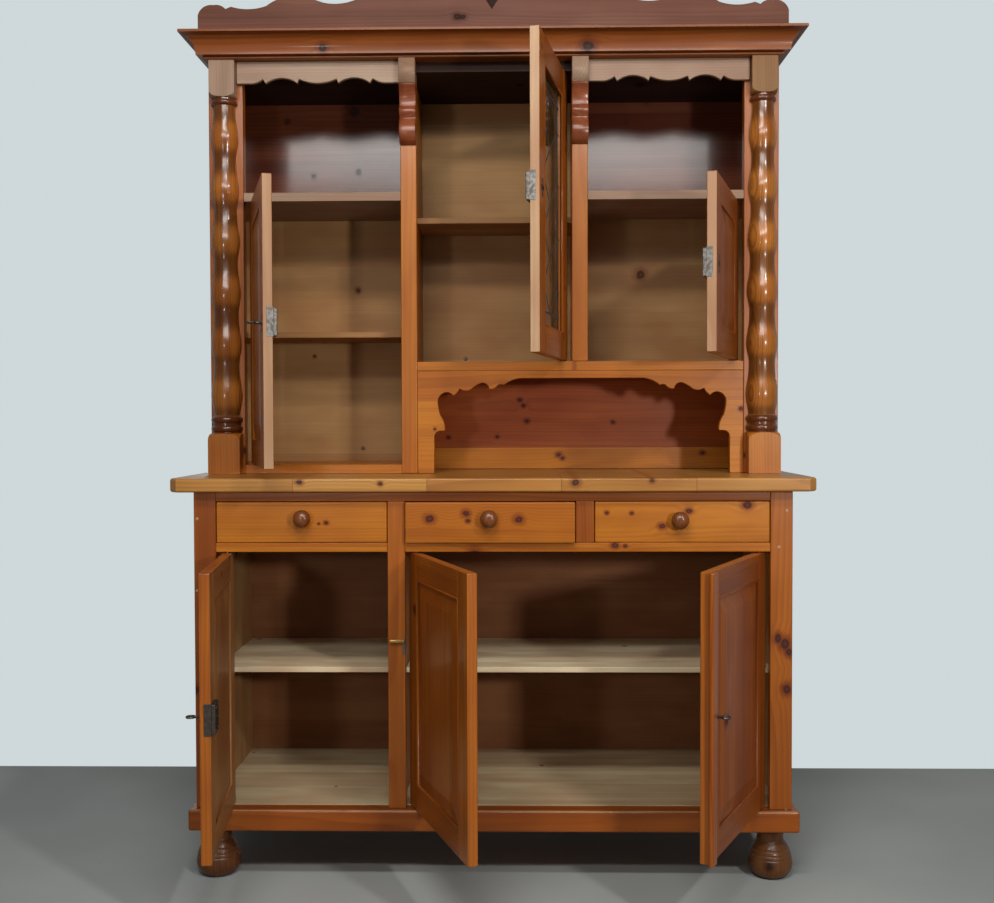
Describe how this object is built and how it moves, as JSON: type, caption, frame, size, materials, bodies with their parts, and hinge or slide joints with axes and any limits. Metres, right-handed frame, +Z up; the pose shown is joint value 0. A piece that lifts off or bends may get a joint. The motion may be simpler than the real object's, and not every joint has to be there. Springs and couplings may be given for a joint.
{
  "type": "buffet cabinet",
  "caption": "Two-part pine buffet cabinet: low cupboard with drawers and panelled doors under a hutch with turned columns, glazed door, open niches, cornice and scrolled crest.",
  "frame": {"origin": "on the floor, under the middle of the overall box with the doors standing open", "axes": "+Z up, +Y towards the wall behind the cabinet, +X to the right for a person facing it"},
  "size_m": [1.42, 0.8102, 2.0369],
  "materials": {
    "varnished_pine": "honey-brown varnish, glossy",
    "raw_pine": "bare, matt",
    "aged_iron": "dark, worn",
    "green_glass": "slightly wavy"
  },
  "bodies": {
    "cabinet": {"foot_front_left": "varnished_pine", "foot_front_right": "varnished_pine", "foot_rear_left": "varnished_pine", "foot_rear_right": "varnished_pine", "base_board": "varnished_pine", "base_side_left": "varnished_pine", "base_side_right": "varnished_pine", "base_back": "raw_pine", "drawer_deck": "raw_pine", "base_partition": "raw_pine", "drawer_divider_left": "raw_pine", "drawer_divider_right": "raw_pine", "base_shelf_left": "raw_pine", "base_shelf_right": "raw_pine", "base_stile_left": "varnished_pine", "base_stile_right": "varnished_pine", "top_rail": "varnished_pine", "mid_stile": "varnished_pine", "short_stile": "varnished_pine", "drawer_rail_left": "varnished_pine", "drawer_rail_right": "varnished_pine", "worktop": "varnished_pine", "hutch_side_left": "varnished_pine", "hutch_side_right": "varnished_pine", "hutch_partition_left": "varnished_pine", "hutch_partition_right": "varnished_pine", "hutch_back": "raw_pine", "hutch_floor_left": "varnished_pine", "hutch_floor_right": "varnished_pine", "open_shelf_left": "varnished_pine", "open_shelf_right": "varnished_pine", "hutch_ceiling": "varnished_pine", "inner_shelf_left": "raw_pine", "inner_shelf_centre": "raw_pine", "back_cleat": "varnished_pine", "column_left": "varnished_pine", "column_right": "varnished_pine", "cornice": "varnished_pine", "crest": "varnished_pine", "valance_left": "varnished_pine", "valance_right": "varnished_pine", "corbel_left": "varnished_pine", "corbel_right": "varnished_pine", "niche_apron": "varnished_pine"},
    "lower_left_door": {"lower_left_door": "varnished_pine"},
    "lower_middle_door": {"lower_middle_door": "varnished_pine"},
    "lower_right_door": {"lower_right_door": "varnished_pine"},
    "upper_left_door": {"upper_left_door": "varnished_pine"},
    "upper_glazed_door": {"upper_glazed_door": "varnished_pine", "door_glass": "green_glass"},
    "upper_right_door": {"upper_right_door": "varnished_pine"},
    "drawer_left": {"drawer_left": "varnished_pine", "knob_left": "varnished_pine"},
    "drawer_middle": {"drawer_middle": "varnished_pine", "knob_middle": "varnished_pine"},
    "drawer_right": {"drawer_right": "varnished_pine", "knob_right": "varnished_pine"},
    "key_lower_left": {"key_lower_left": "aged_iron"},
    "key_lower_right": {"key_lower_right": "aged_iron"},
    "key_upper_left": {"key_upper_left": "aged_iron"}
  },
  "joints": [
    {"name": "lower_left_door_pivot", "type": "hinge", "parent": "cabinet", "child": "lower_left_door", "pos_m": [-0.5815, -0.05442, 0.5], "axis": [0, 0, -1], "range_deg": [-83, 27]},
    {"name": "lower_middle_door_pivot", "type": "hinge", "parent": "cabinet", "child": "lower_middle_door", "pos_m": [-0.1665, -0.05442, 0.5], "axis": [0, 0, -1], "range_deg": [-68.5, 41.5]},
    {"name": "lower_right_door_pivot", "type": "hinge", "parent": "cabinet", "child": "lower_right_door", "pos_m": [0.5815, -0.05442, 0.5], "axis": [0, 0, 1], "range_deg": [-63, 47]},
    {"name": "upper_left_door_pivot", "type": "hinge", "parent": "cabinet", "child": "upper_left_door", "pos_m": [-0.558, 0.13058, 0.5], "axis": [0, 0, -1], "range_deg": [-73, 32]},
    {"name": "upper_glazed_door_pivot", "type": "hinge", "parent": "cabinet", "child": "upper_glazed_door", "pos_m": [0.16, 0.13058, 0.5], "axis": [0, 0, 1], "range_deg": [-78.5, 19.5]},
    {"name": "upper_right_door_pivot", "type": "hinge", "parent": "cabinet", "child": "upper_right_door", "pos_m": [0.558, 0.13058, 0.5], "axis": [0, 0, 1], "range_deg": [-72.3, 32.7]},
    {"name": "drawer_left_slide", "type": "slide", "parent": "cabinet", "child": "drawer_left", "axis": [0, -1, 0], "range_m": [0, 0.28]},
    {"name": "drawer_middle_slide", "type": "slide", "parent": "cabinet", "child": "drawer_middle", "axis": [0, -1, 0], "range_m": [-0.014, 0.266]},
    {"name": "drawer_right_slide", "type": "slide", "parent": "cabinet", "child": "drawer_right", "axis": [0, -1, 0], "range_m": [0, 0.28]},
    {"name": "key_lower_left_turn", "type": "hinge", "parent": "lower_left_door", "child": "key_lower_left", "pos_m": [-0.54232, -0.37352, 0.4445], "axis": [-0.9925, -0.1219, 0], "range_deg": [0, 360]},
    {"name": "key_lower_right_turn", "type": "hinge", "parent": "lower_right_door", "child": "key_lower_right", "pos_m": [0.4259, -0.35981, 0.4445], "axis": [0.891, -0.454, 0], "range_deg": [0, 360]},
    {"name": "key_upper_left_turn", "type": "hinge", "parent": "upper_left_door", "child": "key_upper_left", "pos_m": [-0.46693, -0.16731, 1.2185], "axis": [-0.9563, -0.2924, 0], "range_deg": [0, 360]}
  ]
}
